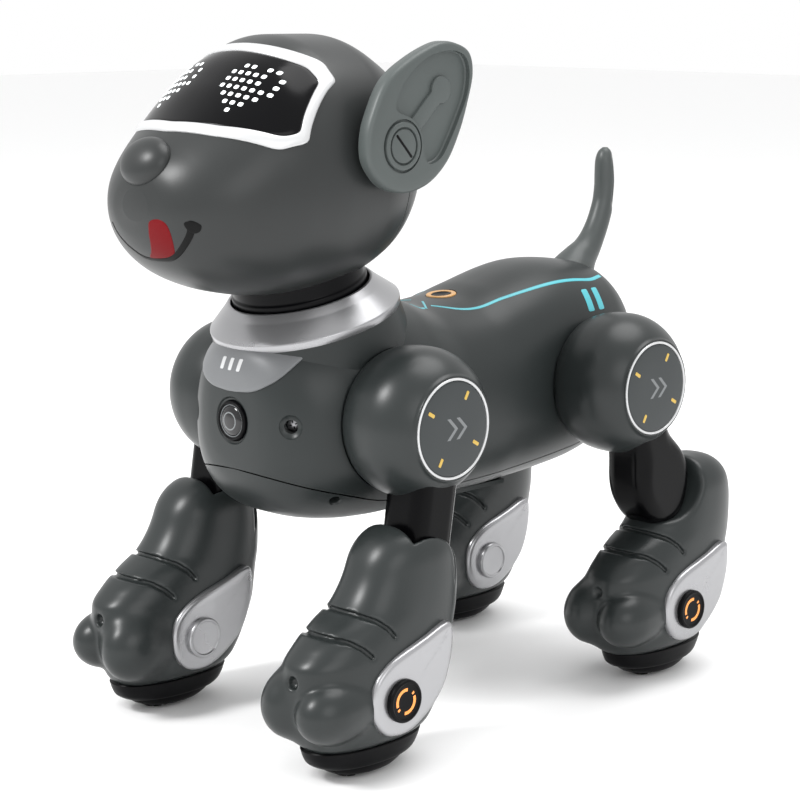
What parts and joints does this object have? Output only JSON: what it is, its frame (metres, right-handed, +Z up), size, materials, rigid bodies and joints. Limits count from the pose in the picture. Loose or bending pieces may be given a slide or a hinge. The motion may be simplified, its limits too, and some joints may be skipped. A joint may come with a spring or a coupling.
{
  "type": "robot dog toy",
  "caption": "Walking robot dog toy with a turning head, wagging tail, swinging legs with bending knees, wheels in its paws and a lit visor.",
  "frame": {"origin": "on the ground, under the middle of the toy's box", "axes": "+Z up, the dog faces -Y, its left side is +X"},
  "size_m": [0.1736, 0.2981, 0.2979],
  "materials": {
    "body_grey": "satin dark slate grey moulded plastic",
    "limb_grey": "satin dark grey moulded plastic",
    "ear_grey": "satin mid grey moulded plastic",
    "black_plastic": "satin black plastic",
    "gloss_black": "glossy black plastic",
    "silver_plastic": "satin silver painted plastic",
    "pale_silver": "pale silver painted plastic",
    "badge_grey": "satin grey painted plastic",
    "lens_clear": "smoked clear lens",
    "button_black": "black cap with an orange ring",
    "wheel_rubber": "black rubber",
    "board_green": "green circuit board",
    "battery_blue": "blue sleeve",
    "gear_white": "natural white engineering plastic",
    "steel": "zinc plated steel",
    "speaker_black": "black speaker cone and basket"
  },
  "bodies": {
    "trunk": {"trunk_shell": "body_grey", "belly_shell": "body_grey", "collar_ring": "silver_plastic", "chest_badge": "badge_grey", "lens_bezel": "gloss_black", "chest_lens": "lens_clear", "battery_pack": "battery_blue", "battery_door": "body_grey", "control_board": "board_green", "speaker": "speaker_black", "charge_socket": "gloss_black", "body_screws": "steel", "leg_gearboxes": "gear_white", "neck_motor": "gear_white"},
    "switch": {"power_switch": "gloss_black"},
    "button": {"back_button": "button_black"},
    "head": {"head_shell": "body_grey", "head_back_shell": "body_grey", "visor_frame": "pale_silver", "visor_lens": "gloss_black", "led_board": "board_green", "nose": "body_grey", "neck_tube": "black_plastic"},
    "left_ear": {"left_ear": "ear_grey", "left_ear_hub": "body_grey"},
    "right_ear": {"right_ear": "ear_grey", "right_ear_hub": "body_grey"},
    "tail": {"tail": "ear_grey"},
    "front_left_hip": {"front_left_hip_cup": "limb_grey", "front_left_hip_disc": "limb_grey", "front_left_thigh": "black_plastic"},
    "front_left_foot": {"front_left_paw_shell": "limb_grey", "front_left_fairings": "silver_plastic", "front_left_hub_caps": "gloss_black", "front_left_sole_plate": "black_plastic"},
    "front_left_wheel": {"front_left_wheel": "wheel_rubber"},
    "front_right_hip": {"front_right_hip_cup": "limb_grey", "front_right_hip_disc": "limb_grey", "front_right_thigh": "black_plastic"},
    "front_right_foot": {"front_right_paw_shell": "limb_grey", "front_right_fairings": "silver_plastic", "front_right_hub_caps": "gloss_black", "front_right_sole_plate": "black_plastic"},
    "front_right_wheel": {"front_right_wheel": "wheel_rubber"},
    "rear_left_hip": {"rear_left_hip_cup": "limb_grey", "rear_left_hip_disc": "limb_grey", "rear_left_thigh": "black_plastic"},
    "rear_left_foot": {"rear_left_paw_shell": "limb_grey", "rear_left_fairings": "silver_plastic", "rear_left_hub_caps": "gloss_black", "rear_left_sole_plate": "black_plastic"},
    "rear_left_wheel": {"rear_left_wheel": "wheel_rubber"},
    "rear_right_hip": {"rear_right_hip_cup": "limb_grey", "rear_right_hip_disc": "limb_grey", "rear_right_thigh": "black_plastic"},
    "rear_right_foot": {"rear_right_paw_shell": "limb_grey", "rear_right_fairings": "silver_plastic", "rear_right_hub_caps": "gloss_black", "rear_right_sole_plate": "black_plastic"},
    "rear_right_wheel": {"rear_right_wheel": "wheel_rubber"}
  },
  "joints": [
    {"name": "head_turn", "type": "hinge", "parent": "trunk", "child": "head", "pos_m": [0, -0.059, 0.181], "axis": [0, -0.2588, 0.9659], "range_deg": [-35, 35]},
    {"name": "left_ear_turn", "type": "hinge", "parent": "head", "child": "left_ear", "pos_m": [0.054, -0.061, 0.254], "axis": [1, 0, 0], "range_deg": [-30, 25]},
    {"name": "right_ear_turn", "type": "hinge", "parent": "head", "child": "right_ear", "pos_m": [-0.054, -0.061, 0.254], "axis": [1, 0, 0], "range_deg": [-30, 25]},
    {"name": "tail_wag", "type": "hinge", "parent": "trunk", "child": "tail", "pos_m": [0, 0.115, 0.184], "axis": [0, 0.4226, 0.9063], "range_deg": [-25, 25]},
    {"name": "front_left_hip_swing", "type": "hinge", "parent": "trunk", "child": "front_left_hip", "pos_m": [0.058, -0.0483, 0.1392], "axis": [1, 0, 0], "range_deg": [-20, 20]},
    {"name": "front_left_knee_bend", "type": "hinge", "parent": "front_left_hip", "child": "front_left_foot", "pos_m": [0.0625, -0.056, 0.084], "axis": [1, 0, 0], "range_deg": [-10, 10]},
    {"name": "front_left_wheel_spin", "type": "hinge", "parent": "front_left_foot", "child": "front_left_wheel", "pos_m": [0.0625, -0.094, 0.02], "axis": [1, 0, 0], "continuous": true},
    {"name": "front_right_hip_swing", "type": "hinge", "parent": "trunk", "child": "front_right_hip", "pos_m": [-0.058, -0.0483, 0.1392], "axis": [1, 0, 0], "range_deg": [-20, 20]},
    {"name": "front_right_knee_bend", "type": "hinge", "parent": "front_right_hip", "child": "front_right_foot", "pos_m": [-0.0625, -0.056, 0.084], "axis": [1, 0, 0], "range_deg": [-10, 10]},
    {"name": "front_right_wheel_spin", "type": "hinge", "parent": "front_right_foot", "child": "front_right_wheel", "pos_m": [-0.0625, -0.094, 0.02], "axis": [1, 0, 0], "continuous": true},
    {"name": "rear_left_hip_swing", "type": "hinge", "parent": "trunk", "child": "rear_left_hip", "pos_m": [0.058, 0.0836, 0.1392], "axis": [1, 0, 0], "range_deg": [-20, 20]},
    {"name": "rear_left_knee_bend", "type": "hinge", "parent": "rear_left_hip", "child": "rear_left_foot", "pos_m": [0.0625, 0.101, 0.084], "axis": [1, 0, 0], "range_deg": [-10, 10]},
    {"name": "rear_left_wheel_spin", "type": "hinge", "parent": "rear_left_foot", "child": "rear_left_wheel", "pos_m": [0.0625, 0.096, 0.02], "axis": [1, 0, 0], "continuous": true},
    {"name": "rear_right_hip_swing", "type": "hinge", "parent": "trunk", "child": "rear_right_hip", "pos_m": [-0.058, 0.0836, 0.1392], "axis": [1, 0, 0], "range_deg": [-20, 20]},
    {"name": "rear_right_knee_bend", "type": "hinge", "parent": "rear_right_hip", "child": "rear_right_foot", "pos_m": [-0.0625, 0.101, 0.084], "axis": [1, 0, 0], "range_deg": [-10, 10]},
    {"name": "rear_right_wheel_spin", "type": "hinge", "parent": "rear_right_foot", "child": "rear_right_wheel", "pos_m": [-0.0625, 0.096, 0.02], "axis": [1, 0, 0], "continuous": true},
    {"name": "switch_slide", "type": "slide", "parent": "trunk", "child": "switch", "axis": [0, 1, 0], "range_m": [0, 0.004]},
    {"name": "button_press", "type": "slide", "parent": "trunk", "child": "button", "axis": [0, 0, -1], "range_m": [0, 0.0012], "stiffness_N_per_m": 300}
  ]
}
